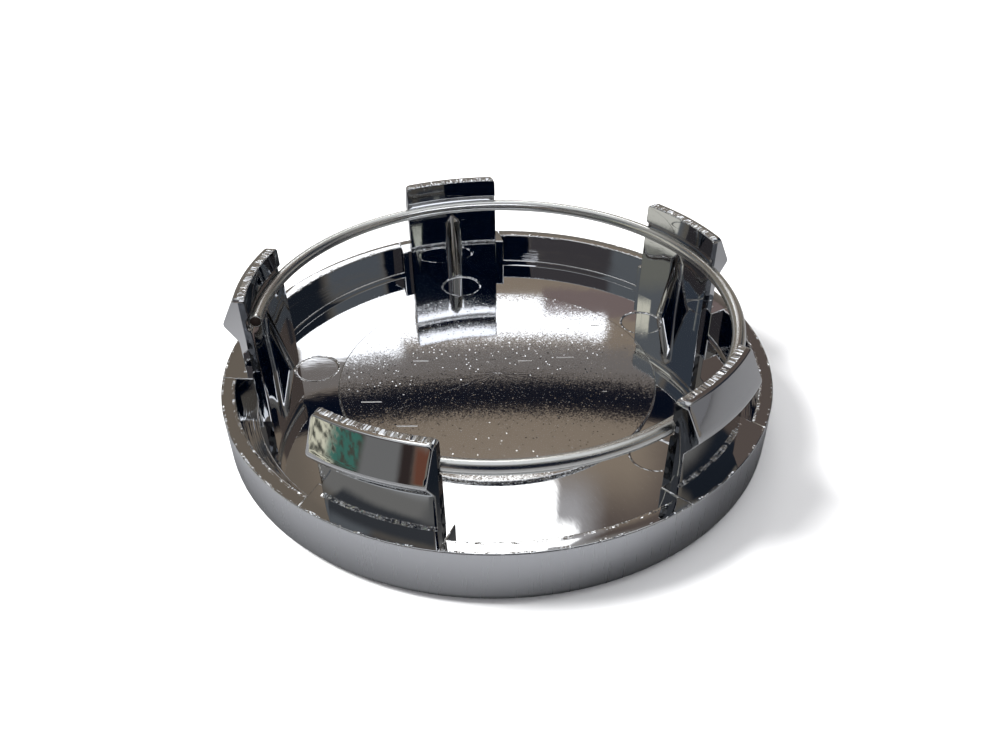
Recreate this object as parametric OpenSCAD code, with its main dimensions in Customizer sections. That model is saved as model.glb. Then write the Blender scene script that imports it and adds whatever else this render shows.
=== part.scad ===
// Snap-in centre cap for a car wheel, with its spring wire ring.
// It lies on its front face: Z is 0 on that face and +Z points to the back,
// where five hooked legs stand up from inside the rim and hold the ring.
// One leg is on +X, and the gap in the ring is centred on -X.

/* [Cap] */
// Outer radius of the cap
cap_r = 30; // [29.5:0.1:40]
// Thickness of the front plate
plate_t = 3; // [1.5:0.1:4]
// Rounding of the edge of the front face
face_edge_r = 1.2; // [0.3:0.1:2]
// Height of the rim above the front face
rim_h = 6.4; // [5:0.1:8]
// Thickness of the rim beside and behind each leg
rim_t = 3.35; // [3:0.05:4]
// Thickness of the rim in the pockets between the legs
pocket_t = 1.5; // [1:0.1:2.5]
// Height of the ledge in a pocket above the floor
ledge_h = 0.45; // [0.1:0.05:1]
// Width of solid rim left at each side of a leg
shoulder_w = 1.2; // [0.6:0.1:2.5]

/* [Centre pad] */
// Radius of the raised pad in the middle of the floor
pad_r = 18; // [8:0.5:18.4]
// Height of the pad above the floor
pad_h = 0.35; // [0.1:0.05:1]
// Bevel round the top of the pad
pad_bevel = 0.2; // [0.05:0.05:0.5]
// Diameter of the ejector pin marks in front of the ribs
mark_d = 5.2; // [3:0.1:5.2]
// Depth of the ejector pin marks
mark_depth = 0.1; // [0.05:0.05:0.3]
// Gap between a mark and the foot of its rib
mark_gap = 0.1; // [0.05:0.05:0.5]

/* [Snap legs] */
// Number of legs
leg_count = 5; // [3:1:6]
// Width of a leg
leg_w = 11.6; // [8:0.1:14]
// Height of the legs above the front face
leg_h = 15.6; // [14.6:0.1:18]
// Thickness of a leg below its hook
leg_t = 1.75; // [1.5:0.05:2]
// How far the inside of a leg reaches in past the rim's inner wall
leg_step = 0.85; // [0.5:0.05:1.2]
// Lean of the inside face of a leg from its foot outward, in degrees
leg_lean = 1.2; // [0:0.1:1.5]
// Width of the flat end of a leg
leg_end_t = 1.2; // [0.8:0.05:1.5]
// Rounding of the two corners at the end of a leg
leg_corner_r = 0.5; // [0.2:0.1:2]

/* [Hooks] */
// How far a hook reaches out past the leg
hook_reach = 1.4; // [0.8:0.05:2]
// Height of the hook's edge above the front face
hook_z = 12.3; // [11.5:0.1:13.5]
// Height of the foot of the hook above the front face
hook_foot_z = 10.2; // [8.5:0.1:10.8]
// Rounding of the hook's edge
hook_tip_r = 0.5; // [0.2:0.1:1]

/* [Spring wire] */
// Diameter of the wire
wire_d = 1.4; // [1:0.1:1.8]
// Height of the middle of the wire above the front face
wire_z = 12.25; // [11:0.05:13]
// Clearance between the wire and the bottom of its groove
wire_fit = 0.05; // [0.02:0.01:0.2]
// Depth of the groove in the inside of each leg
groove_depth = 0.35; // [0.2:0.05:0.5]
// Room in the groove above the wire
groove_room = 0.35; // [0.1:0.05:0.6]
// How far each end of the wire stops short of the leg's side
wire_inset = 1.1; // [0.5:0.1:3]

/* [Ribs] */
// Thickness of the rib in front of each leg
rib_t = 1.3; // [0.8:0.1:2.5]
// How far the rib's foot reaches in from the leg
rib_foot = 2.1; // [1:0.1:2.5]
// Gap from the bottom of the wire down to the top of the rib
rib_drop = 0.7; // [0.3:0.1:3]

/* [Hidden] */
$fn = 96;

leg_pitch = 360 / leg_count;
leg_foot_z = plate_t / 2;

// Radii of the rim, the pockets and the legs
wall_r = cap_r - rim_t;
pocket_r = cap_r - pocket_t;
ledge_z = plate_t + ledge_h;
leg_in_r = wall_r - leg_step;
leg_out_r = leg_in_r + leg_t;
hook_r = leg_out_r + hook_reach;
leg_end_r = inside_r(leg_h);

// The groove and the ring that sits in it
groove_r = inside_r(wire_z) + groove_depth;
wire_r = groove_r - wire_fit - wire_d / 2;
groove_low = wire_d / 2 + wire_fit;
groove_high = groove_low + groove_room;
leg_side_angle = asin((leg_w / 2 - wire_inset) / wire_r);
wire_gap_angle = leg_pitch - 2 * leg_side_angle;

// The ribs and the marks in front of them
rib_top_z = wire_z - wire_d / 2 - rib_drop;
rib_foot_r = leg_in_r - rib_foot;
rib_slope = (inside_r(rib_top_z) - rib_foot_r) / (rib_top_z - plate_t);
mark_r = rib_foot_r - mark_gap - mark_d / 2;

// Radius of the inside face of a leg at height z
function inside_r(z) = leg_in_r + (z - plate_t) * tan(leg_lean);

function unit(v) = v / norm(v);

// Middle of a circle of radius r that touches both sides of corner c
function corner_mid(a, c, b, r) =
    let (u = unit(a - c), w = unit(b - c), half = acos(u * w) / 2)
    c + unit(u + w) * r / sin(half);

// Point where that circle touches the side from c to a
function corner_touch(a, c, b, r) =
    let (u = unit(a - c), w = unit(b - c), half = acos(u * w) / 2)
    c + u * r / tan(half);

// Half section of the plate, the rim and the pad, before the pockets are cut
module cap_section() {
    difference() {
        polygon([
            [0, 0], [cap_r, 0], [cap_r, rim_h], [wall_r, rim_h],
            [wall_r, plate_t], [pad_r, plate_t],
            [pad_r, plate_t + pad_h - min(pad_bevel, pad_h * 0.8)],
            [pad_r - pad_bevel, plate_t + pad_h], [0, plate_t + pad_h]
        ]);
        translate([cap_r - face_edge_r, 0]) difference() {
            square(face_edge_r);
            translate([0, face_edge_r]) circle(face_edge_r);
        }
    }
}

// Section of a leg: stem, hook and the groove for the wire
module leg_section() {
    foot = [leg_out_r, hook_foot_z];
    tip = [hook_r, hook_z];
    end = [leg_end_r + leg_end_t, leg_h];
    half = groove_depth;
    polygon([
        [inside_r(leg_foot_z), leg_foot_z],
        [leg_out_r, leg_foot_z],
        foot,
        corner_touch(foot, tip, end, hook_tip_r),
        corner_touch(end, tip, foot, hook_tip_r),
        end,
        [leg_end_r, leg_h],
        [inside_r(wire_z + groove_high), wire_z + groove_high],
        [groove_r, wire_z + groove_high - half],
        [groove_r, wire_z - groove_low + half],
        [inside_r(wire_z - groove_low), wire_z - groove_low]
    ]);
    translate(corner_mid(foot, tip, end, hook_tip_r)) circle(hook_tip_r);
}

// Outline of a leg seen from inside, with its two round corners
module leg_front() {
    translate([-leg_w / 2, 0]) square([leg_w, leg_h - leg_corner_r]);
    translate([-leg_w / 2 + leg_corner_r, 0])
        square([leg_w - 2 * leg_corner_r, leg_h]);
    for (s = [-1, 1])
        translate([s * (leg_w / 2 - leg_corner_r), leg_h - leg_corner_r])
            circle(leg_corner_r);
}

// One leg on +X, bent round the cap's axis
module leg() {
    intersection() {
        rotate([0, 0, -leg_pitch / 2]) rotate_extrude(angle = leg_pitch)
            leg_section();
        rotate([90, 0, 90]) linear_extrude(hook_r + 1) leg_front();
    }
}

// One upright rib that stiffens a leg
module rib() {
    rotate([90, 0, 0]) translate([0, 0, -rib_t / 2]) linear_extrude(rib_t)
        polygon([
            [rib_foot_r - rib_slope * (plate_t - leg_foot_z), leg_foot_z],
            [leg_in_r + leg_t / 2, leg_foot_z],
            [leg_in_r + leg_t / 2, rib_top_z],
            [inside_r(rib_top_z), rib_top_z]
        ]);
}

// Room of the pockets, with the rim left whole behind each leg
module pockets() {
    difference() {
        translate([0, 0, ledge_z]) cylinder(h = rim_h, r = pocket_r);
        for (i = [0 : leg_count - 1]) rotate([0, 0, i * leg_pitch])
            translate([0, -leg_w / 2 - shoulder_w, 0])
                cube([cap_r, leg_w + 2 * shoulder_w, 2 * rim_h + ledge_z]);
    }
}

module cap_body() {
    color("silver") difference() {
        union() {
            difference() {
                rotate_extrude() cap_section();
                pockets();
            }
            for (i = [0 : leg_count - 1]) rotate([0, 0, i * leg_pitch]) {
                leg();
                rib();
            }
        }
        for (i = [0 : leg_count - 1]) rotate([0, 0, i * leg_pitch])
            translate([mark_r, 0, plate_t - mark_depth])
                cylinder(h = mark_depth + 0.1, d = mark_d);
    }
}

// Open ring: its ends stop behind the two legs beside -X
module spring_wire() {
    color("lightgray") rotate([0, 0, 180 + wire_gap_angle / 2])
        rotate_extrude(angle = 360 - wire_gap_angle)
            translate([wire_r, wire_z]) circle(d = wire_d, $fn = 32);
}

cap_body();
spring_wire();
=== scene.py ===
import math

import bmesh
import bpy
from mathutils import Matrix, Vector


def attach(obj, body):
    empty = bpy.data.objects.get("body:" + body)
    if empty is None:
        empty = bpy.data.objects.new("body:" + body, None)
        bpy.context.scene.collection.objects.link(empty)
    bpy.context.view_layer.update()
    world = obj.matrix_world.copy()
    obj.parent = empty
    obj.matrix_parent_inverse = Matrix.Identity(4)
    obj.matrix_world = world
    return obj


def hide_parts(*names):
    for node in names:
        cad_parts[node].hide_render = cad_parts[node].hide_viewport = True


bl_info = {
    "name": "Wheel Centre Cap",
    "version": (1, 0, 0),
    "blender": (4, 5, 0),
    "location": "3D Viewport > Sidebar > Cap",
    "description": "Models the plated cap, its spring ring and the studio round them",
    "category": "Add Mesh",
}

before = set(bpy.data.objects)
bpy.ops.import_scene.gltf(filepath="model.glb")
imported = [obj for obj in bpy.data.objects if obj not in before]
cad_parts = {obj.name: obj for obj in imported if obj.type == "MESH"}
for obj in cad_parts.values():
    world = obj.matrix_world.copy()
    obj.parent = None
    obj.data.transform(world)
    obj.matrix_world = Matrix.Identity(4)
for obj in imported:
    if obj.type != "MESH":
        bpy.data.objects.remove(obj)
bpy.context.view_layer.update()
MM = 0.001
TAU = 2 * math.pi
# Points this near to a place count as being there
SLACK = 0.02 * MM

# Section of a leg: the groove's reach below and above the wire's middle, the slant at both its
# edges, the width of the flat end, and how far a rib's back stands inside the leg
GROOVE_BELOW, GROOVE_ABOVE, GROOVE_SLANT = 0.75 * MM, 1.1 * MM, 0.35 * MM
LEG_END = 1.2 * MM
RIB_BACK = 0.875 * MM
# A leg's section is swept through this angle and then cut to the leg's width
LEG_SWEEP, LEG_STEPS = math.radians(27), 10
# Roundings: a leg's corners, the hook's edge, a rib's front, its foot on the leg, the pad's edge
CORNER_ROUND, HOOK_ROUND, RIB_ROUND, RIB_FILLET = 0.5 * MM, 0.293 * MM, 0.5 * MM, 0.45 * MM
PAD_ROUND = 0.2 * MM
# The round plate has this many flat sides
PLATE_SIDES = 120
# An ejector pin: its radius, its length, how deep it dips into the floor, and its rounded end
PIN_R, PIN_LONG, PIN_DIP, PIN_ROUND = 2.6 * MM, 0.6 * MM, 0.1 * MM, 0.3 * MM
# The wire's sides, the steps along it, and the bevel on its cut ends
WIRE_SIDES, WIRE_STEPS, WIRE_BEVEL = 24, 206, 0.12 * MM

# Where the camera stands, how it is turned, its focal length in mm, and the way it looks in
# degrees from +X
CAMERA_PLACE = Vector((-0.03976, -0.06707, 0.06016))
CAMERA_TURN = [math.radians(v) for v in (53.785, 0.590, -31.341)]
CAMERA_LENS = 30.353
VIEW_WAY = 59.09
# The card stands this far behind the lens and reaches this far from it, as the camera sees
# right and up
CARD_BEHIND = 4 * MM
CARD_LEFT, CARD_RIGHT, CARD_BOTTOM, CARD_TOP = -28 * MM, 75 * MM, -58 * MM, 18 * MM
# Widths of the floor that the eye sees and the one that the plating mirrors, and how far the
# second one is below the first
SEEN_FLOOR, MIRRORED_FLOOR, FLOOR_DROP = 1, 3, 0.01 * MM
# Each lamp's name, place, width in metres and power in watts
LAMPS = (
    ("lamp_on_the_left", (-0.607, 0.526, 0.892), 0.5, 30),
    ("soft_light_above", (0.1, -0.1, 1.3), 1.4, 5),
)

# What stands round the cap, as soft panels: heading from the camera's view in degrees, with right
# positive, half the width, height above the floor in degrees, half the height, softness, colour,
# strength, and whether it is broken up as leaves are
PANELS = (
    ("upper walls", 0, 200, 54, 8, 5, "#a9a7a4", 1.0, False),
    ("ceiling", 0, 200, 78, 18, 8, "#eceef2", 1.1, False),
    ("wall on the left", -100, 24, 30, 12, 5, "#878c92", 1.0, False),
    ("dark corner on the left", -127, 29, 44, 6, 4, "#55585e", 1.0, False),
    ("blind on the left", -88.5, 10, 22.5, 3, 1.5, "#fffdf2", 1.35, False),
    ("under the blind", -89, 9, 26.5, 1.5, 1.5, "#a9a9a0", 0.9, False),
    ("lamp on the left", -91, 2.5, 33.6, 1.0, 1, "#fffbe8", 1.5, False),
    ("shade on the left", -56, 16, 32, 9, 5, "#525b68", 1.0, False),
    ("strip on the left", -55, 2.5, 29, 4, 1.5, "#c9cbc4", 1.0, False),
    ("wall on the right", 64, 26, 30, 17, 8, "#2c333e", 1.0, False),
    ("shelf on the right", 92, 14, 4, 8, 5, "#86868a", 1.0, False),
    ("lit wall on the right", 108, 15, 27, 7, 6, "#7b8189", 1.0, False),
    ("room behind", 160, 36, 22, 12.3, 2, "#0a1629", 1.0, False),
    ("window behind", 166, 36, 40.2, 5.9, 1.5, "#f6f8ff", 3.6, False),
    ("wall over that window", 172, 46, 60, 12, 8, "#8a8a8a", 1.0, False),
    ("door behind on the left", -143, 21, 27, 9, 5, "#605c60", 1.0, False),
    ("lit strip behind", 143, 8, 24.7, 0.9, 1.2, "#fdfff0", 1.1, False),
    ("far wall", 0, 48, 39, 10, 4, "#6b605b", 1.0, False),
    ("left of the far wall", -26, 13, 41, 11, 6, "#82786d", 1.0, False),
    ("middle of the far wall", -1, 15, 36, 8, 5, "#a39484", 1.0, False),
    ("sill", -2, 17, 35.2, 1.1, 0.8, "#8a8481", 1.0, False),
    ("dark screen", -2, 17, 37.6, 1.2, 0.6, "#0a1222", 1.0, False),
    ("window", -3.5, 12, 32.2, 1.2, 0.5, "#f8faff", 3.2, False),
    ("wall right of the window", 11.2, 7.8, 31.2, 0.9, 0.5, "#8d7d7b", 1.0, False),
    ("upper left of the window", -12, 4, 33.4, 0.9, 0.5, "#f8faff", 2.6, False),
    ("lower left of the window", -11, 5.5, 29.8, 3.3, 0.6, "#f8faff", 2.6, False),
    ("glow beside the ceiling light", 5.5, 3, 50, 6.5, 4, "#c6c4c6", 1.0, False),
    ("ceiling light", -4, 9.1, 50.6, 7.3, 0.9, "#ffffff", 3.2, False),
    ("corner of the ceiling light", 5.2, 2, 47.9, 1.7, 1.2, "#ffffff", 3.2, False),
    ("shade under the plant", -122, 18, 5, 9, 2, "#55564e", 1.0, False),
    ("yellow leaves", -110, 10, 5, 8, 2, "#f3f0d8", 1.1, True),
    ("green leaves", -123, 6.5, 6, 4, 4, "#4c8377", 1.0, True),
    ("grey card", -138, 8, 5, 8, 3, "#848484", 1.0, False),
    ("dark card", -147, 2.5, 8, 6, 3, "#3d3433", 1.0, False),
    ("low lamp on the left", -80, 8, 8, 5, 3, "#f5f3e6", 1.0, False),
    ("red card", -154, 4.5, 9, 3.5, 2, "#7c5142", 1.0, False),
)


def linear(code):
    """Turns an sRGB hex colour such as #8f9092 to linear red, green and blue."""
    parts = [int(code[i:i + 2], 16) / 255 for i in (1, 3, 5)]
    return tuple(c / 12.92 if c <= 0.04045 else ((c + 0.055) / 1.055) ** 2.4 for c in parts)


def size(name, tells, value):
    return bpy.props.FloatProperty(
        name=name, description=tells, default=value * MM, unit="LENGTH", precision=5)


def angle(name, tells, degrees):
    return bpy.props.FloatProperty(
        name=name, description=tells, default=math.radians(degrees), subtype="ANGLE")


def tint(name, tells, code):
    return bpy.props.FloatVectorProperty(
        name=name, description=tells, default=linear(code), subtype="COLOR", min=0, max=1)


class CapSizes(bpy.types.PropertyGroup):
    cap_r: size("Cap radius", "Outer radius of the cap", 30)
    floor_z: size("Floor", "Height of the floor inside the rim", 3)
    face_round: size("Face rounding", "Rounding of the edge of the front face", 1.2)
    rim_z: size("Rim height", "Height of the rim above the front face", 6.4)
    wall_r: size("Inner wall", "Radius of the rim's inner wall beside the legs", 26.65)
    pocket_r: size("Pocket radius", "Radius of the pockets' outer wall", 28.5)
    ledge_z: size("Ledge", "Height of the ledge in a pocket", 3.45)
    block_half: size("Block half width", "Half the width of solid rim behind a leg", 7)
    pad_r: size("Pad radius", "Radius of the raised pad", 18)
    pad_h: size("Pad height", "Height of the pad above the floor", 0.35)
    leg_half: size("Leg half width", "Half the width of a leg", 5.8)
    leg_in: size("Leg inside", "Radius of a leg's inside face at the floor", 25.8)
    leg_out: size("Leg outside", "Radius of a leg's outside face", 27.55)
    leg_z: size("Leg height", "Height of the legs", 15.6)
    hook_r: size("Hook radius", "Radius of the hooks' edges before they are rounded", 28.95)
    hook_z: size("Hook height", "Height of the hooks' edges", 12.3)
    hook_foot_z: size("Hook foot", "Height where a hook starts", 10.2)
    groove_r: size("Groove radius", "Radius of the bottom of the wire's groove", 26.344)
    rib_half: size("Rib half width", "Half the thickness of a rib", 0.65)
    rib_foot: size("Rib foot", "Radius of the foot of a rib", 23.7)
    rib_top_z: size("Rib top", "Height of the top of a rib", 10.85)
    mark_r: size("Mark place", "Radius at which the ejector marks stand", 21)
    wire_r: size("Ring radius", "Radius of the spring ring's middle line", 25.594)
    wire_z: size("Ring height", "Height of the spring ring", 12.25)
    wire_half: size("Wire radius", "Radius of the wire", 0.7)
    edge: size("Edge rounding", "Rounding that the mould leaves on the edges", 0.14)
    legs: bpy.props.IntProperty(name="Legs", description="Number of legs", default=5, min=3, max=6)
    lean: angle("Lean", "Lean of a leg's inside face", 1.2)
    ring_gap: angle("Ring gap", "Angle of the gap in the ring", 51)


class CapColours(bpy.types.PropertyGroup):
    chrome: tint("Chrome", "Bright chrome plating", "#c4c5c6")
    matt: tint("Matt chrome", "Rough plating on the parting lines", "#eceef0")
    # Painted shade: a darker chrome that stands for the shade down the sides of the legs
    leg_side_shade: tint("Painted leg side shade", "Darker chrome painting shade down the sides of the legs", "#5d6065")
    satin: tint("Satin chrome", "Chrome over the brushed side wall", "#cacccf")
    wire: tint("Spring steel", "Bright drawn wire", "#d8d9d6")
    sheared: tint("Sheared steel", "Cut ends of the wire", "#4a403c")
    ground: tint("Floor", "The floor under the cap", "#f4f4f4")
    mirrored: tint("Mirrored floor", "The floor as the plating mirrors it", "#979799")


def only(piece):
    """Leaves piece as the one selected, active object."""
    if bpy.context.object and bpy.context.object.mode != "OBJECT":
        bpy.ops.object.mode_set(mode="OBJECT")
    bpy.ops.object.select_all(action="DESELECT")
    piece.select_set(True)
    bpy.context.view_layer.objects.active = piece


def edit(piece):
    only(piece)
    bpy.ops.object.mode_set(mode="EDIT")


def leave():
    bpy.ops.object.mode_set(mode="OBJECT")


def set_place():
    bpy.ops.object.transform_apply(location=True, rotation=True, scale=True)


def middle(part):
    if isinstance(part, bmesh.types.BMVert):
        return part.co
    return sum((v.co for v in part.verts), Vector()) / len(part.verts)


def away(co):
    """How far the point is from the cap's axis."""
    return math.hypot(co.x, co.y)


def near(a, b, slack=SLACK):
    return abs(a - b) < slack


def level(part, z):
    """Whether all corners of the edge or face are at height z."""
    return all(near(v.co.z, z) for v in part.verts)


def runs_inward(edge):
    """Whether the edge runs toward the cap's axis and not round it."""
    return abs(away(edge.verts[0].co) - away(edge.verts[1].co)) > MM


def pick(piece, kind, test):
    """Selects the vertices, edges or faces of the piece in edit mode that pass the test."""
    kinds = ("VERT", "EDGE", "FACE")
    bpy.context.tool_settings.mesh_select_mode = [kind == k for k in kinds]
    bpy.ops.mesh.select_all(action="DESELECT")
    mesh = bmesh.from_edit_mesh(piece.data)
    parts = (mesh.verts, mesh.edges, mesh.faces)[kinds.index(kind)]
    picked = [part for part in parts if test(part)]
    for part in picked:
        part.select_set(True)
    mesh.select_flush_mode()
    bmesh.update_edit_mesh(piece.data)
    if not picked:
        raise RuntimeError("nothing of " + piece.name + " was picked")


def shift(x=0, y=0, z=0):
    bpy.ops.transform.translate(value=(x, y, z))


def lift(z):
    bpy.ops.mesh.extrude_region_move(TRANSFORM_OT_translate={"value": (0, 0, z)})


def turned(x, y, z, by):
    """The point after a turn round the cap's axis."""
    c, s = math.cos(by), math.sin(by)
    return Vector((c * x - s * y, s * x + c * y, z))


def apply_all(piece):
    only(piece)
    for modifier in list(piece.modifiers):
        bpy.ops.object.modifier_apply(modifier=modifier.name)


def join_solid(piece, other, how):
    """Adds or cuts the other closed solid and removes it."""
    modifier = piece.modifiers.new("Solid", "BOOLEAN")
    modifier.operation = how
    modifier.solver = "EXACT"
    modifier.object = other
    apply_all(piece)
    bpy.data.objects.remove(other)


def tidy_mesh(piece):
    edit(piece)
    bpy.ops.mesh.select_all(action="SELECT")
    bpy.ops.mesh.remove_doubles(threshold=0.002 * MM)
    bpy.ops.mesh.normals_make_consistent(inside=False)
    leave()


def smooth_mesh(piece):
    """Shades the piece smooth up to its sharp corners, with its broad faces kept true."""
    only(piece)
    bpy.ops.object.shade_smooth_by_angle(angle=math.radians(50))
    modifier = piece.modifiers.new("Shading", "WEIGHTED_NORMAL")
    modifier.weight = 50
    modifier.keep_sharp = True
    apply_all(piece)


def leg_face(s, z):
    """Radius of a leg's inside face at height z."""
    return s.leg_in + (z - s.floor_z) * math.tan(s.lean)


def leg_turn(s, co):
    """Angle from the middle line of the nearest leg to the point."""
    pitch = TAU / s.legs
    return (math.atan2(co.y, co.x) + pitch / 2) % pitch - pitch / 2


def from_leg(s, co):
    """How far the point is from the middle line of the nearest leg."""
    return abs(away(co) * math.sin(leg_turn(s, co)))


def leg_levels(s):
    """Height, inside radius and outside radius at each bend of a leg's section, upward."""
    low, high = s.wire_z - GROOVE_BELOW, s.wire_z + GROOVE_ABOVE
    end_r = leg_face(s, s.leg_z)
    levels = [
        (s.hook_foot_z, leg_face(s, s.hook_foot_z), s.leg_out),
        (low, leg_face(s, low), None),
        (low + GROOVE_SLANT, s.groove_r, None),
        (s.hook_z, s.groove_r, s.hook_r),
        (high - GROOVE_SLANT, s.groove_r, None),
        (high, leg_face(s, high), None),
        (s.leg_z, end_r, end_r + LEG_END),
    ]
    # The outside is straight between the levels that name it
    known = [(z, outer) for z, _, outer in levels if outer]
    for number, (z, inner, outer) in enumerate(levels):
        if outer is None:
            for (z0, r0), (z1, r1) in zip(known, known[1:]):
                if z0 <= z <= z1:
                    outer = r0 + (r1 - r0) * (z - z0) / (z1 - z0)
            levels[number] = (z, inner, outer)
    return levels


def leg_solid(s):
    """One leg with its hook and groove, on +X."""
    foot_z = s.floor_z / 2
    thick = s.leg_out - leg_face(s, foot_z)
    bpy.ops.mesh.primitive_plane_add(
        size=thick, location=(s.leg_out - thick / 2, 0, foot_z + thick / 2),
        rotation=(math.pi / 2, 0, 0))
    leg = bpy.context.object
    leg.name = "leg"
    only(leg)
    set_place()
    edit(leg)
    top, ends = foot_z + thick, (leg_face(s, foot_z), s.leg_out)
    for number, (z, inner, outer) in enumerate(leg_levels(s)):
        pick(leg, "EDGE", lambda e: level(e, top))
        if number:
            lift(z - top)
        else:
            shift(z=z - top)
        for old, new in zip(ends, (inner, outer)):
            pick(leg, "VERT", lambda v: near(v.co.z, z) and near(v.co.x, old, 0.001 * MM))
            shift(x=new - old)
        top, ends = z, (inner, outer)
    bpy.ops.mesh.select_all(action="SELECT")
    bpy.ops.transform.rotate(value=LEG_SWEEP / 2, orient_axis="Z", center_override=(0, 0, 0))
    bpy.ops.mesh.spin(steps=LEG_STEPS, angle=LEG_SWEEP, center=(0, 0, 0), axis=(0, 0, -1))
    for side in (-1, 1):
        bpy.ops.mesh.select_all(action="SELECT")
        bpy.ops.mesh.bisect(
            plane_co=(0, side * s.leg_half, 0), plane_no=(0, side, 0), use_fill=True,
            clear_outer=True)
    leave()
    tidy_mesh(leg)
    edit(leg)
    pick(leg, "EDGE", lambda e: level(e, s.leg_z)
         and all(near(abs(v.co.y), s.leg_half) for v in e.verts))
    bpy.ops.mesh.bevel(offset=CORNER_ROUND, segments=4, affect="EDGES")
    pick(leg, "EDGE", lambda e: level(e, s.hook_z)
         and all(away(v.co) > s.hook_r - 0.1 * MM for v in e.verts))
    bpy.ops.mesh.bevel(offset=HOOK_ROUND, segments=4, affect="EDGES")
    leave()
    return leg


def rib_solid(s):
    """The upright rib in front of the leg on +X, with its foot in the plate."""
    foot_z, top_r = s.floor_z / 2, leg_face(s, s.rib_top_z)
    slope = (top_r - s.rib_foot) / (s.rib_top_z - s.floor_z)
    toe, back = s.rib_foot - slope * (s.floor_z - foot_z), s.leg_in + RIB_BACK
    bpy.ops.mesh.primitive_cube_add(
        size=1, location=((toe + back) / 2, 0, (foot_z + s.rib_top_z) / 2),
        scale=(back - toe, 2 * s.rib_half, s.rib_top_z - foot_z))
    rib = bpy.context.object
    only(rib)
    set_place()
    edit(rib)
    pick(rib, "VERT", lambda v: near(v.co.x, toe) and near(v.co.z, s.rib_top_z))
    shift(x=top_r - toe)
    pick(rib, "EDGE", lambda e: all(v.co.x < top_r + SLACK for v in e.verts)
         and abs(e.verts[0].co.z - e.verts[1].co.z) > MM)
    bpy.ops.mesh.bevel(offset=RIB_ROUND, segments=4, affect="EDGES")
    leave()
    return rib


def shell(s):
    """The plate, the rim with its pockets, and the pad."""
    # The middle of a flat side is nearer to the axis than its corners, by this factor
    flat = math.cos(math.pi / PLATE_SIDES)
    bpy.ops.mesh.primitive_cylinder_add(
        vertices=PLATE_SIDES, radius=s.cap_r, depth=s.ledge_z,
        location=(0, 0, s.ledge_z / 2), rotation=(0, 0, math.pi / PLATE_SIDES))
    cap = bpy.context.object
    cap.name = "plated_cap"
    only(cap)
    set_place()
    edit(cap)
    pick(cap, "EDGE", lambda e: level(e, 0))
    bpy.ops.mesh.bevel(offset=s.face_round, segments=7, affect="EDGES")
    pick(cap, "FACE", lambda f: near(middle(f).z, s.ledge_z))
    bpy.ops.mesh.inset(thickness=(s.cap_r - s.pocket_r) * flat)
    bpy.ops.mesh.inset(thickness=(s.pocket_r - s.wall_r) * flat)
    lift(s.floor_z - s.ledge_z)
    bpy.ops.mesh.inset(thickness=(s.wall_r - s.pad_r) * flat)
    lift(s.pad_h)
    pick(cap, "EDGE", lambda e: level(e, s.floor_z + s.pad_h))
    bpy.ops.mesh.bevel(offset=PAD_ROUND, segments=3, affect="EDGES")

    # One line across the floor is kept between two legs, and the others go
    pitch = TAU / s.legs
    pick(cap, "EDGE", lambda e: level(e, s.floor_z) and runs_inward(e)
         and leg_turn(s, middle(e)) < pitch / 2 - math.radians(2))
    bpy.ops.mesh.dissolve_edges(use_verts=False)

    def on_ledge(part):
        co = middle(part)
        return near(co.z, s.ledge_z) and s.wall_r < away(co) < s.pocket_r

    def near_block_end(face, heading):
        """Whether the face is where a pocket ends, at this heading."""
        co = middle(face)
        off = (math.atan2(co.y, co.x) - heading + math.pi) % TAU - math.pi
        return on_ledge(face) and abs(off) < math.radians(3)

    # The ledge is cut square where the solid rim behind each leg begins and ends
    for leg in range(s.legs):
        for side in (-1, 1):
            heading = leg * pitch + side * math.radians(14.5)
            pick(cap, "FACE", lambda f: near_block_end(f, heading))
            bpy.ops.mesh.bisect(
                plane_co=turned(0, side * s.block_half, 0, leg * pitch),
                plane_no=turned(0, 1, 0, leg * pitch))
    pick(cap, "EDGE", lambda e: level(e, s.ledge_z) and runs_inward(e) and on_ledge(e)
         and from_leg(s, middle(e)) < s.block_half - 0.05 * MM)
    bpy.ops.mesh.dissolve_edges(use_verts=False)

    def under_rim(face):
        """Whether the face is the rim's, either all round or behind a leg."""
        if not near(middle(face).z, s.ledge_z) or face.normal.z < 0.9:
            return False
        inner = min(away(v.co) for v in face.verts)
        behind_leg = all(from_leg(s, v.co) < s.block_half + SLACK for v in face.verts)
        return inner > s.pocket_r - SLACK or (inner > s.wall_r - 0.05 * MM and behind_leg)

    pick(cap, "FACE", under_rim)
    lift(s.rim_z - s.ledge_z)
    leave()
    return cap


def ejector_marks(s, cap):
    """Shallow dishes that the ejector pins leave in front of the ribs."""
    for number in range(s.legs):
        bpy.ops.mesh.primitive_cylinder_add(
            vertices=48, radius=PIN_R, depth=PIN_LONG,
            location=turned(s.mark_r, 0, s.floor_z + PIN_LONG / 2 - PIN_DIP,
                            number * TAU / s.legs))
        pin = bpy.context.object
        only(pin)
        set_place()
        edit(pin)
        pick(pin, "EDGE", lambda e: all(v.co.z < s.floor_z for v in e.verts))
        bpy.ops.mesh.bevel(offset=PIN_ROUND, segments=3, affect="EDGES")
        leave()
        join_solid(cap, pin, "DIFFERENCE")


def give_finishes(piece, names, places):
    """Gives the piece its materials, the first all over and the next ones where places tell."""
    for name in names:
        piece.data.materials.append(bpy.data.materials[name])
    edit(piece)
    for number, place in enumerate(places, 1):
        pick(piece, "FACE", place)
        piece.active_material_index = number
        bpy.ops.object.material_slot_assign()
    leave()


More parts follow.
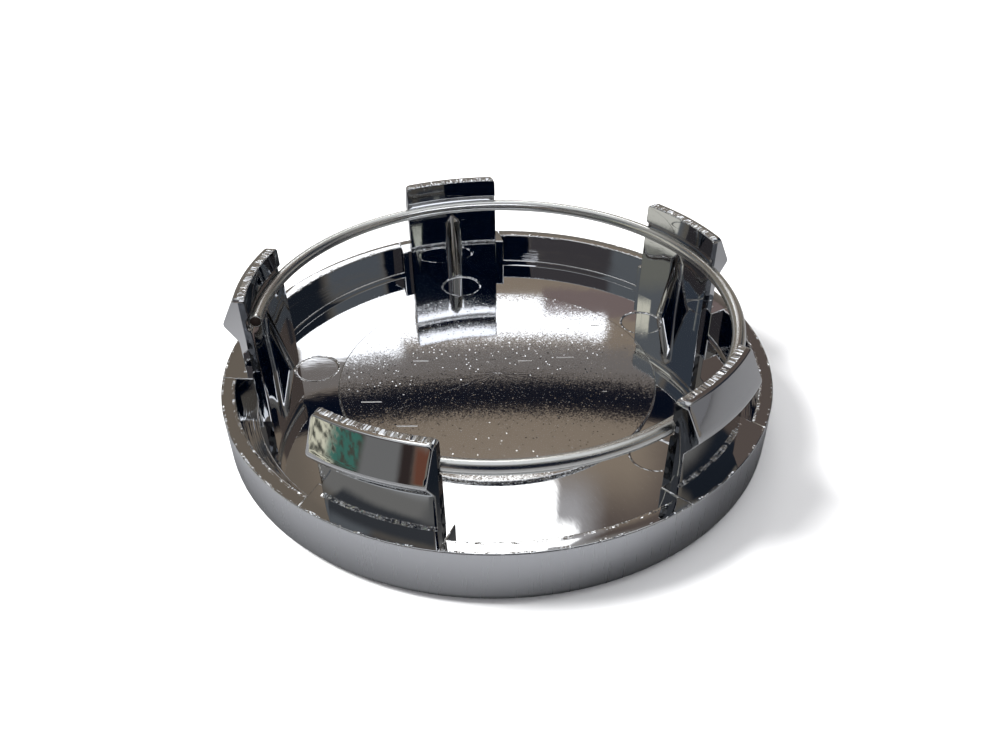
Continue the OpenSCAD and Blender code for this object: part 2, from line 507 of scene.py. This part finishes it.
class CAP_OT_body(bpy.types.Operator):
    """Model the plated cap: plate, rim, pad, legs, hooks and ribs."""
    bl_idname = "cap.body"
    bl_label = "Plated cap"

    def execute(self, context):
        s = context.scene.cap_sizes
        cap = shell(s)
        first = leg_solid(s)
        join_solid(first, rib_solid(s), "UNION")
        legs = [first]
        for number in range(1, s.legs):
            only(first)
            bpy.ops.object.duplicate()
            copy = bpy.context.object
            only(copy)
            copy.rotation_euler.z = number * TAU / s.legs
            set_place()
            legs.append(copy)
        only(first)
        for leg in legs:
            leg.select_set(True)
        bpy.ops.object.join()
        join_solid(cap, first, "UNION")
        tidy_mesh(cap)

        def beside_rib(co):
            """Whether the point is where a rib meets the inside of its leg."""
            return (from_leg(s, co) < s.rib_half + SLACK
                    and s.floor_z - SLACK < co.z < s.rib_top_z + SLACK
                    and near(away(co), leg_face(s, co.z), 0.03 * MM))

        edit(cap)
        pick(cap, "EDGE", lambda e: all(beside_rib(v.co) for v in e.verts)
             and e.calc_face_angle(0) > math.radians(25))
        bpy.ops.mesh.bevel(offset=RIB_FILLET, segments=4, affect="EDGES")
        pick(cap, "EDGE", lambda e: e.calc_face_angle_signed(0) > math.radians(28)
             and not near(away(middle(e)), s.pad_r, 0.5 * MM))
        bpy.ops.mesh.bevel(offset=s.edge, segments=2, affect="EDGES", clamp_overlap=False)
        leave()
        ejector_marks(s, cap)
        smooth_mesh(cap)

        def on_pad(face):
            return (face.normal.z > 0.9 and middle(face).z > s.floor_z + s.pad_h - 0.03 * MM
                    and all(away(v.co) < s.pad_r - 0.1 * MM for v in face.verts))

        def on_side_wall(face):
            return face.normal.xy.length > 0.05 and all(
                away(v.co) > s.cap_r - 1.3 * MM and v.co.z < s.rim_z - SLACK for v in face.verts)

        finishes = ("Chrome-plated ABS", "Grained chrome on ABS", "Satin chrome on ABS")
        give_finishes(cap, finishes, (on_pad, on_side_wall))
        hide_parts("cap_body")
        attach(cap, "root")
        return {"FINISHED"}


class CAP_OT_ring(bpy.types.Operator):
    """Model the open spring ring that sits in the legs' grooves."""
    bl_idname = "cap.ring"
    bl_label = "Spring ring"

    def execute(self, context):
        s = context.scene.cap_sizes
        start = math.pi + s.ring_gap / 2
        bpy.ops.mesh.primitive_circle_add(
            vertices=WIRE_SIDES, radius=s.wire_half, fill_type="NGON",
            location=turned(s.wire_r, 0, s.wire_z, start), rotation=(math.pi / 2, 0, start))
        ring = bpy.context.object
        ring.name = "spring_ring"
        only(ring)
        set_place()
        edit(ring)
        bpy.ops.mesh.select_all(action="SELECT")
        bpy.ops.mesh.spin(
            steps=WIRE_STEPS, angle=TAU - s.ring_gap, center=(0, 0, 0), axis=(0, 0, -1))
        leave()
        tidy_mesh(ring)

        def cut_end(face):
            return len(face.verts) > 4

        edit(ring)
        pick(ring, "EDGE", lambda e: any(cut_end(f) for f in e.link_faces))
        bpy.ops.mesh.bevel(offset=WIRE_BEVEL, segments=2, affect="EDGES")
        leave()
        only(ring)
        bpy.ops.object.shade_smooth_by_angle(angle=math.radians(30))
        give_finishes(ring, ("Drawn spring steel", "Sheared spring steel"), (cut_end,))
        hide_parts("spring_wire")
        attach(ring, "root")
        # Its mirror image would be a dark arc, where under bright windows it burns out to white,
        # so the plating doesn't show it
        ring.visible_glossy = False
        return {"FINISHED"}


def add(tree, kind, inputs=None, **settings):
    """Adds a node with its settings, and sets or links its inputs."""
    node = tree.nodes.new(kind)
    for name, value in settings.items():
        setattr(node, name, value)
    for key, value in (inputs or {}).items():
        if isinstance(value, bpy.types.NodeSocket):
            tree.links.new(value, node.inputs[key])
        else:
            node.inputs[key].default_value = value
    return node


def cap_place(s):
    """A group that tells where on the cap a point is, in mm: along the rim, out from the axis,
    up, beside the nearest leg's middle, and from the middle of its ejector mark."""
    tree = bpy.data.node_groups.new("Place on the cap", "ShaderNodeTree")
    for name in ("Along", "Out", "Up", "Beside", "From mark"):
        tree.interface.new_socket(name, in_out="OUTPUT", socket_type="NodeSocketFloat")
    here = add(tree, "ShaderNodeTexCoord")
    mm = add(tree, "ShaderNodeVectorMath", {0: here.outputs["Object"], "Scale": 1 / MM},
             operation="SCALE")
    axes = add(tree, "ShaderNodeSeparateXYZ", {0: mm.outputs[0]})
    turn = add(tree, "ShaderNodeMath", {0: axes.outputs["Y"], 1: axes.outputs["X"]},
               operation="ARCTAN2")
    # Along the rim is counted at 27 mm from the axis
    along = add(tree, "ShaderNodeMath", {0: turn.outputs[0], 1: 27.0}, operation="MULTIPLY")
    flat = add(tree, "ShaderNodeVectorMath", {0: mm.outputs[0], 1: (1, 1, 0)},
               operation="MULTIPLY")
    out = add(tree, "ShaderNodeVectorMath", {0: flat.outputs[0]}, operation="LENGTH")
    half = math.pi / s.legs
    off = add(tree, "ShaderNodeMath", {0: turn.outputs[0], 1: half, 2: -half}, operation="WRAP")
    sine = add(tree, "ShaderNodeMath", {0: off.outputs[0]}, operation="SINE")
    side = add(tree, "ShaderNodeMath", {0: sine.outputs[0], 1: out.outputs["Value"]},
               operation="MULTIPLY")
    beside = add(tree, "ShaderNodeMath", {0: side.outputs[0]}, operation="ABSOLUTE")
    cosine = add(tree, "ShaderNodeMath", {0: off.outputs[0]}, operation="COSINE")
    front = add(tree, "ShaderNodeMath",
                {0: cosine.outputs[0], 1: out.outputs["Value"], 2: -s.mark_r / MM},
                operation="MULTIPLY_ADD")
    gap = add(tree, "ShaderNodeCombineXYZ", {0: front.outputs[0], 1: side.outputs[0]})
    mark = add(tree, "ShaderNodeVectorMath", {0: gap.outputs[0]}, operation="LENGTH")
    add(tree, "NodeGroupOutput", {
        "Along": along.outputs[0], "Out": out.outputs["Value"], "Up": axes.outputs["Z"],
        "Beside": beside.outputs[0], "From mark": mark.outputs["Value"]})


def finish(name, colour, rough):
    """A new metal with its shader and the group that tells the place on the cap."""
    material = bpy.data.materials.new(name)
    material.use_nodes = True
    tree = material.node_tree
    shader = tree.nodes["Principled BSDF"]
    shader.inputs["Base Color"].default_value = (*colour, 1)
    shader.inputs["Metallic"].default_value = 1.0
    shader.inputs["Roughness"].default_value = rough
    place = add(tree, "ShaderNodeGroup", node_tree=bpy.data.node_groups["Place on the cap"])
    return tree, shader, place


def stretched(tree, place, along, out, up):
    """The place on the cap, counted in steps of these millimetres."""
    steps = []
    for name, mm in (("Along", along), ("Out", out), ("Up", up)):
        step = add(tree, "ShaderNodeMath", {0: place.outputs[name], 1: mm}, operation="DIVIDE")
        steps.append(step.outputs[0])
    return add(tree, "ShaderNodeCombineXYZ", dict(enumerate(steps))).outputs[0]


def between(tree, value, low, high, soft):
    """1 where the value lies between low and high, with a soft step at each end."""
    up = add(tree, "ShaderNodeMapRange", {0: value, 1: low - soft / 2, 2: low + soft / 2},
             interpolation_type="SMOOTHSTEP")
    down = add(tree, "ShaderNodeMapRange",
               {0: value, 1: high - soft / 2, 2: high + soft / 2, 3: 1.0, 4: 0.0},
               interpolation_type="SMOOTHSTEP")
    both = add(tree, "ShaderNodeMath", {0: up.outputs[0], 1: down.outputs[0]},
               operation="MULTIPLY")
    return both.outputs[0]


def all_of(tree, *masks):
    """The product of the masks."""
    result = masks[0]
    for mask in masks[1:]:
        both = add(tree, "ShaderNodeMath", {0: result, 1: mask}, operation="MULTIPLY")
        result = both.outputs[0]
    return result


def facets(tree, where, normal, turn, rare=0.0, share=0.0):
    """Turns the normal of each small cell by up to turn, and a share of the cells by up to rare
    more, as in grain that sparkles."""
    cells = add(tree, "ShaderNodeTexVoronoi", {"Vector": where, "Scale": 1.0})
    even = add(tree, "ShaderNodeVectorMath",
               {0: cells.outputs["Color"], 1: (2, 2, 2), 2: (-1, -1, -1)},
               operation="MULTIPLY_ADD")
    if share:
        chance = add(tree, "ShaderNodeSeparateColor", {0: cells.outputs["Color"]})
        few = add(tree, "ShaderNodeMapRange",
                  {0: chance.outputs["Blue"], 1: 1 - share, 2: 1.0, 3: 0.0, 4: rare})
        more = add(tree, "ShaderNodeMath", {0: few.outputs[0], 1: turn}, operation="ADD")
        turn = more.outputs[0]
    push = add(tree, "ShaderNodeVectorMath", {0: even.outputs[0], "Scale": turn},
               operation="SCALE")
    both = add(tree, "ShaderNodeVectorMath", {0: push.outputs[0], 1: normal}, operation="ADD")
    tilted = add(tree, "ShaderNodeVectorMath", {0: both.outputs[0]}, operation="NORMALIZE")
    return tilted.outputs[0]


def waves(tree, where, height, normal=None):
    """Soft noise in the surface, this many metres high."""
    noise = add(tree, "ShaderNodeTexNoise",
                {"Vector": where, "Scale": 1.0, "Detail": 1.0, "Roughness": 0.4})
    links = {"Height": noise.outputs[0], "Strength": 1.0, "Distance": height}
    if normal:
        links["Normal"] = normal
    return add(tree, "ShaderNodeBump", links).outputs[0], noise.outputs[0]


def bright_chrome(c):
    # Chrome on moulded ABS: a mirror that ripples slightly where the plastic sank, with rough
    # plating on the parting lines of the legs, hair scratches on the ledge and small nicks along
    # the rim. The hairs are finer than a pixel, so they are drawn about 0.14 mm wide to show.
    tree, shader, place = finish("Chrome-plated ABS", c.chrome, 0.04)
    out, up, beside, from_mark = (place.outputs[n] for n in ("Out", "Up", "Beside", "From mark"))
    peel, _ = waves(tree, stretched(tree, place, 3.2, 3.2, 3.2), 0.003 * MM)
    spots = add(tree, "ShaderNodeTexNoise",
                {"Vector": stretched(tree, place, 1.0, 0.4, 0.4), "Scale": 1.0, "Detail": 4.0,
                 "Roughness": 0.65}).outputs[0]
    nicked = between(tree, spots, 0.54, 2, 0.04)
    on_rim, on_floor = between(tree, up, 6.2, 6.6, 0.1), between(tree, up, 2.85, 3.1, 0.04)
    leg_end = all_of(tree, between(tree, out, 20, 26.8, 0.2), between(tree, up, 15.45, 20, 0.04))
    strip = all_of(tree, between(tree, out, 20, 26.78, 0.08), between(tree, up, 6.5, 15.2, 0.1),
                   between(tree, beside, 5.7, 9, 0.06))
    pad_edge = all_of(tree, between(tree, out, 17.72, 18.1, 0.06),
                      between(tree, up, 3.04, 3.5, 0.04))
    leg_foot = all_of(tree, between(tree, out, 27.45, 27.8, 0.06),
                      between(tree, up, 6.3, 6.65, 0.06), between(tree, beside, -1, 5.9, 0.1))
    pocket_lip = all_of(tree, between(tree, out, 28.3, 28.85, 0.1),
                        between(tree, beside, 7, 40, 0.1), on_rim)
    outer_lip = all_of(tree, between(tree, out, 29.72, 30.2, 0.08),
                       between(tree, up, 6.1, 6.6, 0.1))
    block_lip = all_of(tree, between(tree, beside, 6.9, 7.04, 0.06), on_rim,
                       between(tree, out, 27.6, 30.1, 0.1))
    mark_lip = all_of(tree, between(tree, from_mark, 2.36, 2.62, 0.05), on_floor)
    rough_bits = leg_end
    for strength, bits in (
            # The strip down both sides of a leg, and the foot of its outside
            (0.4, (strip,)),
            (1.0, (leg_foot, between(tree, spots, 0.48, 2, 0.06))),
            # The edge of the pad, the lip of a mark, and the edges of the rim
            (0.8, (pad_edge, between(tree, spots, 0.42, 2, 0.06))),
            (0.5, (mark_lip,)),
            (1.0, (pocket_lip, nicked)),
            (0.8, (outer_lip, nicked)),
            (1.0, (block_lip,))):
        more = add(tree, "ShaderNodeMath", {0: all_of(tree, *bits), 1: strength},
                   operation="MULTIPLY")
        most = add(tree, "ShaderNodeMath", {0: rough_bits, 1: more.outputs[0]},
                   operation="MAXIMUM")
        rough_bits = most.outputs[0]
    hairs, _ = waves(tree, stretched(tree, place, 4, 0.14, 0.14), 0.02 * MM, peel)
    ledge = all_of(tree, between(tree, out, 26.5, 28.4, 0.1), between(tree, up, 3.4, 3.5, 0.02),
                   between(tree, beside, 9.5, 40, 2.0))
    scratched = add(tree, "ShaderNodeMix", {0: ledge, 4: peel, 5: hairs}, data_type="VECTOR")
    turn = add(tree, "ShaderNodeMapRange", {0: rough_bits, 3: 0.0009, 4: 0.5})
    normal = facets(tree, stretched(tree, place, 0.15, 0.8, 0.8), scratched.outputs[1],
                    turn.outputs[0])
    tree.links.new(normal, shader.inputs["Normal"])
    # Painted shade: the strip down the sides of a leg is mixed toward a darker chrome, for the
    # shade that lies there
    with_leg_side_shade = add(tree, "ShaderNodeMix", {0: strip, 6: (*c.chrome, 1), 7: (*c.leg_side_shade, 1)},
               data_type="RGBA")
    pale = add(tree, "ShaderNodeMix",
               {0: between(tree, rough_bits, 0.6, 2, 0.2), 6: with_leg_side_shade.outputs[2], 7: (*c.matt, 1)},
               data_type="RGBA")
    tree.links.new(pale.outputs[2], shader.inputs["Base Color"])
    gloss = add(tree, "ShaderNodeMapRange", {0: rough_bits, 3: 0.03, 4: 0.2})
    tree.links.new(gloss.outputs[0], shader.inputs["Roughness"])


def grained_chrome(c):
    # The same chrome over a spark-eroded mould: a fine sparkling grain, blurring what it mirrors,
    # and a few short tool marks that all run the same way. The grain is drawn 0.12 mm wide, as
    # coarse as one pixel of the render, so that it shows.
    tree, shader, place = finish("Grained chrome on ABS", c.chrome, 0.1)
    peel, _ = waves(tree, stretched(tree, place, 3.5, 3.5, 3.5), 0.002 * MM)
    here = add(tree, "ShaderNodeTexCoord")
    turned_mm = add(tree, "ShaderNodeMapping",
                    {"Vector": here.outputs["Object"], "Rotation": (0, 0, math.radians(30.9)),
                     "Scale": (1 / MM, 1 / MM, 1 / MM)})
    grain = add(tree, "ShaderNodeVectorMath", {0: turned_mm.outputs[0], "Scale": 1 / 0.12},
                operation="SCALE")
    sparkle = facets(tree, grain.outputs[0], peel, 0.0035, rare=0.03, share=0.06)
    # A tool mark stands in some of these cells, which are 4.2 mm wide
    sparse = add(tree, "ShaderNodeVectorMath", {0: turned_mm.outputs[0], "Scale": 1 / 4.2},
                 operation="SCALE")
    spread = add(tree, "ShaderNodeTexVoronoi",
                 {"Vector": sparse.outputs[0], "Scale": 1.0, "Randomness": 0.9},
                 voronoi_dimensions="2D")
    reach = add(tree, "ShaderNodeVectorMath",
                {0: sparse.outputs[0], 1: spread.outputs["Position"]}, operation="SUBTRACT")
    parts = add(tree, "ShaderNodeSeparateXYZ", {0: reach.outputs[0]})
    chance = add(tree, "ShaderNodeSeparateColor", {0: spread.outputs["Color"]})
    length = add(tree, "ShaderNodeMapRange", {0: chance.outputs["Green"], 3: 0.02, 4: 0.3})
    across = add(tree, "ShaderNodeMath", {0: parts.outputs["X"]}, operation="ABSOLUTE")
    within = add(tree, "ShaderNodeMath", {0: across.outputs[0], 1: length.outputs[0]},
                 operation="LESS_THAN")
    dash = all_of(tree, within.outputs[0], between(tree, parts.outputs["Y"], -0.02, 0.02, 0.02),
                  between(tree, chance.outputs["Red"], 0.7, 2, 0.01))
    rough = add(tree, "ShaderNodeMapRange", {0: dash, 3: 0.05, 4: 0.45})
    tree.links.new(sparkle, shader.inputs["Normal"])
    tree.links.new(rough.outputs[0], shader.inputs["Roughness"])


def lined_metal(name, colour, rough, steps, least, most):
    """A metal with fine lines in it, this far apart, and a roughness that varies with them."""
    tree, shader, place = finish(name, colour, rough)
    lines, streaks = waves(tree, stretched(tree, place, *steps), 0.0005 * MM)
    varied = add(tree, "ShaderNodeMapRange", {0: streaks, 1: 0.3, 2: 0.7, 3: least, 4: most})
    tree.links.new(varied.outputs[0], shader.inputs["Roughness"])
    tree.links.new(lines, shader.inputs["Normal"])


class CAP_OT_finishes(bpy.types.Operator):
    """Make the materials of the cap and the ring."""
    bl_idname = "cap.finishes"
    bl_label = "Finishes"

    def execute(self, context):
        c = context.scene.cap_colours
        cap_place(context.scene.cap_sizes)
        bright_chrome(c)
        grained_chrome(c)

        # The same chrome with the side of the cap brushed before plating: a satin with fine
        # upright lines, drawn 0.13 mm wide, about one pixel, so that they show
        lined_metal("Satin chrome on ABS", c.satin, 0.27, (0.13, 5, 5), 0.27, 0.33)

        # Drawn spring steel: bright and faintly warm, with drawing lines that run along the wire.
        # They are drawn 0.2 mm wide, coarser than real ones, so that they show
        lined_metal("Drawn spring steel", c.wire, 0.12, (14, 0.2, 0.2), 0.2, 0.28)

        # Spring steel where the wire was sheared off: dark and dull, with a torn face
        tree, shader, place = finish("Sheared spring steel", c.sheared, 0.45)
        torn, _ = waves(tree, stretched(tree, place, 0.3, 0.3, 0.3), 0.02 * MM)
        tree.links.new(torn, shader.inputs["Normal"])
        return {"FINISHED"}


def surroundings(scene):
    """Soft panels all round in the world, where the eye sees plain white instead."""
    world = bpy.data.worlds.new("Studio")
    scene.world = world
    world.use_nodes = True
    # The soft world is met by chance alone, which renders faster here than aiming at it
    world.cycles.sampling_method = "NONE"
    tree = world.node_tree
    tree.nodes.clear()
    place = add(tree, "ShaderNodeTexCoord")
    turn = add(tree, "ShaderNodeVectorRotate",
               {"Vector": place.outputs["Generated"], "Angle": math.radians(90 - VIEW_WAY)},
               rotation_type="Z_AXIS")
    parts = add(tree, "ShaderNodeSeparateXYZ", {"Vector": turn.outputs[0]})
    heading = add(tree, "ShaderNodeMath", {0: parts.outputs["X"], 1: parts.outputs["Y"]},
                  operation="ARCTAN2")
    height = add(tree, "ShaderNodeMath", {0: parts.outputs["Z"]}, operation="ARCSINE")
    ground = add(tree, "ShaderNodeRGB")
    ground.outputs[0].default_value = (*linear("#8c857c"), 1)
    result = ground.outputs[0]

    # Leaves break up a panel in patches about 2.6 degrees wide and 0.8 high
    leaf = []
    for way, degrees in ((heading, 2.6), (height, 0.8)):
        step = add(tree, "ShaderNodeMath", {0: way.outputs[0], 1: math.degrees(1) / degrees},
                   operation="MULTIPLY")
        leaf.append(step.outputs[0])
    leaf = add(tree, "ShaderNodeCombineXYZ", dict(enumerate(leaf)))
    patches = add(tree, "ShaderNodeTexNoise",
                  {"Vector": leaf.outputs[0], "Scale": 1.0, "Detail": 2.0})
    broken = between(tree, patches.outputs[0], 0.47, 2, 0.2)

    # A panel that crosses the line straight behind the camera counts its heading from 0 to 360
    turned_back = add(tree, "ShaderNodeMath", {0: heading.outputs[0], 1: TAU, 2: 0.0},
                      operation="WRAP")
    ahead, behind = (
        add(tree, "ShaderNodeCombineXYZ", {0: way.outputs[0], 1: height.outputs[0]})
        for way in (heading, turned_back))
    for name, side, wide, up, tall, soft, code, strength, leafy in PANELS:
        way = behind if 180 < side + wide < 360 and wide < 180 else ahead
        middle_at = (math.radians(side), math.radians(up), 0)
        off = add(tree, "ShaderNodeVectorMath", {0: way.outputs[0], 1: middle_at},
                  operation="SUBTRACT")
        off = add(tree, "ShaderNodeVectorMath", {0: off.outputs[0]}, operation="ABSOLUTE")
        inner, outer = ([math.radians(half + edge) for half in (wide, tall, 90)]
                        for edge in (-soft / 2, soft / 2))
        inside = add(tree, "ShaderNodeMapRange",
                     {6: off.outputs[0], 7: inner, 8: outer, 9: (1, 1, 1), 10: (0, 0, 0)},
                     data_type="FLOAT_VECTOR", interpolation_type="SMOOTHSTEP")
        both = add(tree, "ShaderNodeSeparateXYZ", {0: inside.outputs[1]})
        masks = [both.outputs["X"], both.outputs["Y"]] + ([broken] if leafy else [])
        colour = (*[strength * v for v in linear(code)], 1)
        mix = add(tree, "ShaderNodeMix", {0: all_of(tree, *masks), 6: result, 7: colour},
                  data_type="RGBA", label=name)
        result = mix.outputs[2]
    seen = add(tree, "ShaderNodeBackground", {"Color": result})
    plain = add(tree, "ShaderNodeBackground", {"Color": (1, 1, 1, 1)})
    ray = add(tree, "ShaderNodeLightPath")
    choice = add(tree, "ShaderNodeMixShader",
                 {0: ray.outputs["Is Camera Ray"], 1: seen.outputs[0], 2: plain.outputs[0]})
    add(tree, "ShaderNodeOutputWorld", {"Surface": choice.outputs[0]})


def lamps():
    """One large lamp on the left and one soft light above."""
    for name, place, across, power in LAMPS:
        toward = Vector(place).to_track_quat("Z", "Y").to_euler()
        bpy.ops.object.light_add(type="AREA", location=place, rotation=toward)
        lamp = bpy.context.object
        lamp.name = name
        lamp.data.shape = "DISK"
        lamp.data.size = across
        lamp.data.energy = power
        lamp.visible_glossy = False
        lamp.visible_camera = False


def staged_floor(name, colour, seen):
    """A floor that the eye sees, or one just under it that the plating mirrors."""
    bpy.ops.mesh.primitive_plane_add(
        size=SEEN_FLOOR if seen else MIRRORED_FLOOR, location=(0, 0, 0 if seen else -FLOOR_DROP))
    ground = bpy.context.object
    ground.name = name
    only(ground)
    set_place()
    ground.visible_camera = seen
    ground.visible_glossy = ground.visible_diffuse = ground.visible_shadow = not seen
    material = bpy.data.materials.new("Matt floor paint")
    material.use_nodes = True
    tree = material.node_tree
    shader = tree.nodes["Principled BSDF"]
    shader.inputs["Base Color"].default_value = (*colour, 1)
    if not seen:
        # Painted shadow: it is darker right at the cap, where little light comes, and it is also
        # darker farther away
        here = add(tree, "ShaderNodeTexCoord")
        far = add(tree, "ShaderNodeVectorMath", {0: here.outputs["Object"]}, operation="LENGTH")
        painted_contact_shadow = add(tree, "ShaderNodeMapRange",
                      {0: far.outputs["Value"], 1: 30 * MM, 2: 36 * MM, 3: 0.25, 4: 1.0})
        distance = add(tree, "ShaderNodeMapRange",
                       {0: far.outputs["Value"], 1: 38 * MM, 2: 50 * MM, 3: 1.0, 4: 0.68})
        both = all_of(tree, painted_contact_shadow.outputs[0], distance.outputs[0])
        shade = add(tree, "ShaderNodeVectorMath", {0: colour, "Scale": both}, operation="SCALE")
        tree.links.new(shade.outputs[0], shader.inputs["Base Color"])
    ground.data.materials.append(material)


def dark_card():
    """A dark card behind the lens, which darkens what the mirror faces would show there."""
    bpy.ops.mesh.primitive_plane_add(size=1, location=CAMERA_PLACE, rotation=CAMERA_TURN)
    card = bpy.context.object
    card.name = "dark_card_behind_the_lens"
    edit(card)
    bpy.ops.transform.resize(
        value=(CARD_RIGHT - CARD_LEFT, CARD_TOP - CARD_BOTTOM, 1), orient_type="LOCAL")
    bpy.ops.transform.translate(
        value=((CARD_RIGHT + CARD_LEFT) / 2, (CARD_TOP + CARD_BOTTOM) / 2, CARD_BEHIND),
        orient_type="LOCAL")
    leave()
    only(card)
    set_place()
    card.visible_camera = card.visible_diffuse = card.visible_shadow = False
    material = bpy.data.materials.new("Black card")
    material.use_nodes = True
    shader = material.node_tree.nodes["Principled BSDF"]
    shader.inputs["Base Color"].default_value = (*linear("#0a1c38"), 1)
    shader.inputs["Specular IOR Level"].default_value = 0
    card.data.materials.append(material)


class CAP_OT_studio(bpy.types.Operator):
    """Set up the floor, the soft light and the camera."""
    bl_idname = "cap.studio"
    bl_label = "Studio"

    def execute(self, context):
        scene = context.scene
        scene.view_settings.view_transform = "Standard"
        # The floor is white to the eye, and the plating mirrors a greyer one just under it
        c = scene.cap_colours
        staged_floor("studio_floor", c.ground, True)
        staged_floor("floor_in_the_plating", c.mirrored, False)
        surroundings(scene)
        lamps()
        dark_card()
        bpy.ops.object.camera_add(location=CAMERA_PLACE, rotation=CAMERA_TURN)
        camera = bpy.context.object
        camera.data.lens = CAMERA_LENS
        camera.data.clip_start = 0.001
        scene.camera = camera
        return {"FINISHED"}


class CAP_PT_panel(bpy.types.Panel):
    """Lists what the cap is made of."""
    bl_label = "Wheel centre cap"
    bl_idname = "CAP_PT_panel"
    bl_space_type = "VIEW_3D"
    bl_region_type = "UI"
    bl_category = "Cap"

    def draw(self, context):
        for step in STEPS:
            self.layout.operator(step.bl_idname)
        for group in (context.scene.cap_sizes, context.scene.cap_colours):
            for name in group.__annotations__:
                self.layout.prop(group, name)


STEPS = (CAP_OT_finishes, CAP_OT_body, CAP_OT_ring, CAP_OT_studio)
CLASSES = (CapSizes, CapColours, *STEPS, CAP_PT_panel)


def register():
    for item in CLASSES:
        bpy.utils.register_class(item)
    bpy.types.Scene.cap_sizes = bpy.props.PointerProperty(type=CapSizes)
    bpy.types.Scene.cap_colours = bpy.props.PointerProperty(type=CapColours)


def unregister():
    del bpy.types.Scene.cap_colours
    del bpy.types.Scene.cap_sizes
    for item in reversed(CLASSES):
        bpy.utils.unregister_class(item)


def main():
    register()
    bpy.ops.cap.finishes()
    bpy.ops.cap.body()
    bpy.ops.cap.ring()
    bpy.ops.cap.studio()


if __name__ == "__main__":
    main()
